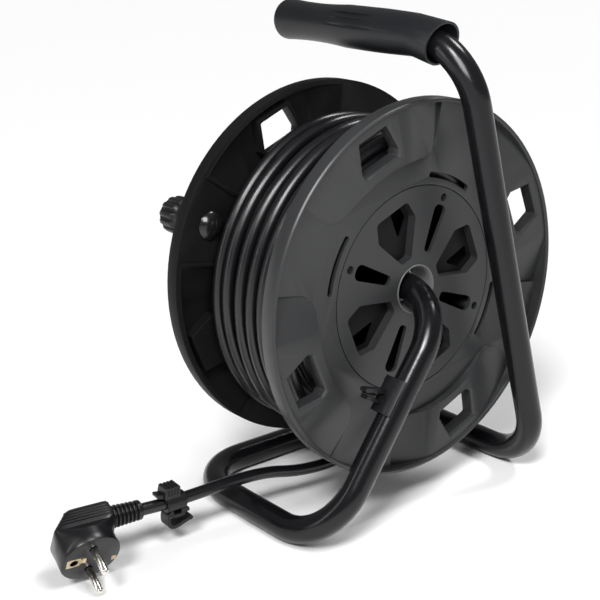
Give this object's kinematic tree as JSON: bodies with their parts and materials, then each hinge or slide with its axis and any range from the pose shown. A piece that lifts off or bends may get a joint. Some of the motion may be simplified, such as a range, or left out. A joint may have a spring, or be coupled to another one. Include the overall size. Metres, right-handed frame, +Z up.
{
  "type": "extension cord reel",
  "caption": "Hand-wound extension cord reel: a drum with socket outlets and wound cord turning on a bent tube stand with a carrying grip, a winding knob and a plug.",
  "frame": {"origin": "on the floor under the middle of the reel's overall box, without the free cord and its plug", "axes": "+Z up, the drum axis along Y with the socket side and the winding knob towards -Y, +X towards the plug's side"},
  "size_m": [0.3728, 0.179, 0.3265],
  "materials": {
    "frame_paint": "gloss black powder coat",
    "grip_rubber": "soft satin",
    "dark_plastic": "moulded matt",
    "drum_plastic": "moulded satin",
    "bush_plastic": "smooth",
    "socket_plastic": "smooth satin",
    "knob_plastic": "moulded matt",
    "button_plastic": "smooth gloss",
    "plug_plastic": "moulded satin",
    "cord_sheath": "satin sheath",
    "nickel": "nickel plated",
    "brass": "bare",
    "steel": "zinc plated"
  },
  "bodies": {
    "stand": {"frame_tube": "frame_paint", "handle_grip": "grip_rubber", "leg_bracket": "dark_plastic", "axle_end_cap": "dark_plastic", "axle_washer": "steel", "axle_stop_ring": "steel", "plug_body": "plug_plastic", "plug_pins": "nickel", "plug_boot": "plug_plastic", "plug_earth_contacts": "brass", "lead_cord": "cord_sheath", "cord_clip": "dark_plastic"},
    "drum": {"back_flange": "drum_plastic", "front_flange": "drum_plastic", "back_disc": "drum_plastic", "disc_screws": "steel", "rear_bush": "bush_plastic", "front_bush": "bush_plastic", "socket_plate": "drum_plastic", "socket_insert_1": "socket_plastic", "socket_insert_2": "socket_plastic", "socket_insert_3": "socket_plastic", "socket_insert_4": "socket_plastic", "earth_clips": "brass", "pin_contacts": "brass", "plate_screws": "steel", "cutout_body": "dark_plastic", "cutout_nut": "dark_plastic", "reset_spring": "steel", "cord_core": "cord_sheath", "cord_winding": "cord_sheath", "cord_clamp": "dark_plastic", "knob_spindle": "dark_plastic"},
    "knob": {"winding_knob": "knob_plastic", "knob_cap": "knob_plastic"},
    "button": {"reset_button": "button_plastic"}
  },
  "joints": [
    {"name": "drum_spin", "type": "hinge", "parent": "stand", "child": "drum", "pos_m": [0, 0.0033, 0.151], "axis": [0, 1, 0], "continuous": true},
    {"name": "knob_spin", "type": "hinge", "parent": "drum", "child": "knob", "pos_m": [0.09655, -0.0667, 0.19099], "axis": [0, 1, 0], "continuous": true},
    {"name": "reset_press", "type": "slide", "parent": "drum", "child": "button", "axis": [0, 1, 0], "range_m": [0, 0.0025], "stiffness_N_per_m": 400, "springref_m": -0.002}
  ]
}
